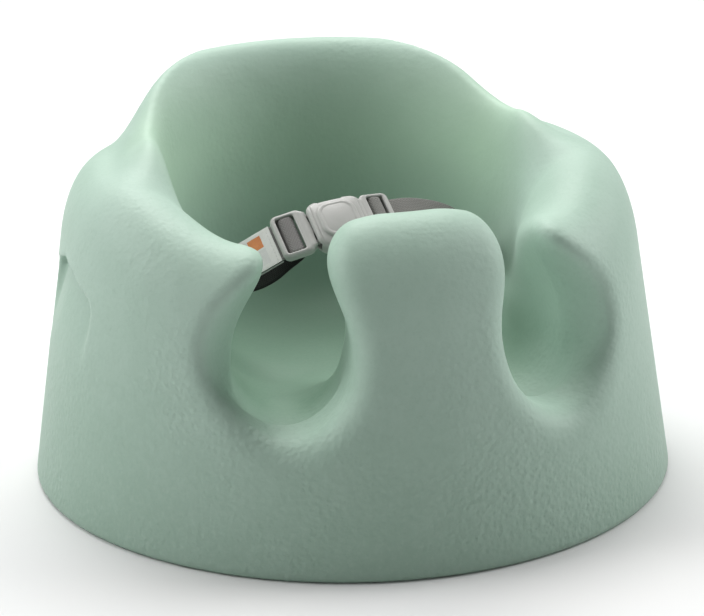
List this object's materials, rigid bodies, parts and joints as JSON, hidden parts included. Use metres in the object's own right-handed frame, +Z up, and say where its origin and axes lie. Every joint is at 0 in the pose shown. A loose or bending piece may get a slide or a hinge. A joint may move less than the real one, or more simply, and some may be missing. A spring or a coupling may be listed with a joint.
{
  "type": "baby floor seat",
  "caption": "Moulded foam baby floor seat with a deep bucket, leg openings, a central pommel and a webbing lap belt with a side-release buckle.",
  "frame": {"origin": "centre of the round base, on the floor", "axes": "+Z up, the seat faces -Y, +X points to the right in a front view"},
  "size_m": [0.38, 0.38, 0.2258],
  "materials": {
    "foam": "soft matt moulded foam skin with a fine pebble grain",
    "dark_plastic": "matt",
    "steel": "drawn rod",
    "webbing_black": "woven webbing",
    "webbing_grey": "woven webbing",
    "label_cloth": "smooth woven label cloth",
    "buckle_plastic": "satin moulded"
  },
  "bodies": {
    "seat": {"seat_body": "foam", "anchor_plate_left": "dark_plastic", "anchor_plate_right": "dark_plastic", "anchor_bar_left": "steel", "anchor_bar_right": "steel", "web_stub_left": "webbing_black", "web_stub_right": "webbing_grey"},
    "belt": {"buckle_housing": "buckle_plastic", "strap_right": "webbing_grey"},
    "plug_half": {"plug": "buckle_plastic", "strap_left": "webbing_black", "tail_label": "label_cloth"},
    "prong_up": {"prong_upper": "buckle_plastic"},
    "prong_low": {"prong_lower": "buckle_plastic"}
  },
  "joints": [
    {"name": "belt_swing", "type": "hinge", "parent": "seat", "child": "belt", "pos_m": [0, 0.024, 0.109], "axis": [-1, 0, 0], "range_deg": [-18, 98]},
    {"name": "buckle_release", "type": "slide", "parent": "belt", "child": "plug_half", "axis": [-0.9912, -0.0546, -0.121], "range_m": [0, 0.022], "deforming": ["prong_upper", "prong_lower", "strap_left", "tail_label"]},
    {"name": "squeeze_upper", "type": "hinge", "parent": "plug_half", "child": "prong_up", "pos_m": [-0.03345, -0.02686, 0.15815], "axis": [0.0693, 0.5644, -0.8226], "range_deg": [0, 8], "stiffness_Nm_per_rad": 0.35},
    {"name": "squeeze_lower", "type": "hinge", "parent": "plug_half", "child": "prong_low", "pos_m": [-0.03132, -0.04234, 0.14771], "axis": [-0.0693, -0.5644, 0.8226], "range_deg": [0, 8], "stiffness_Nm_per_rad": 0.35}
  ]
}
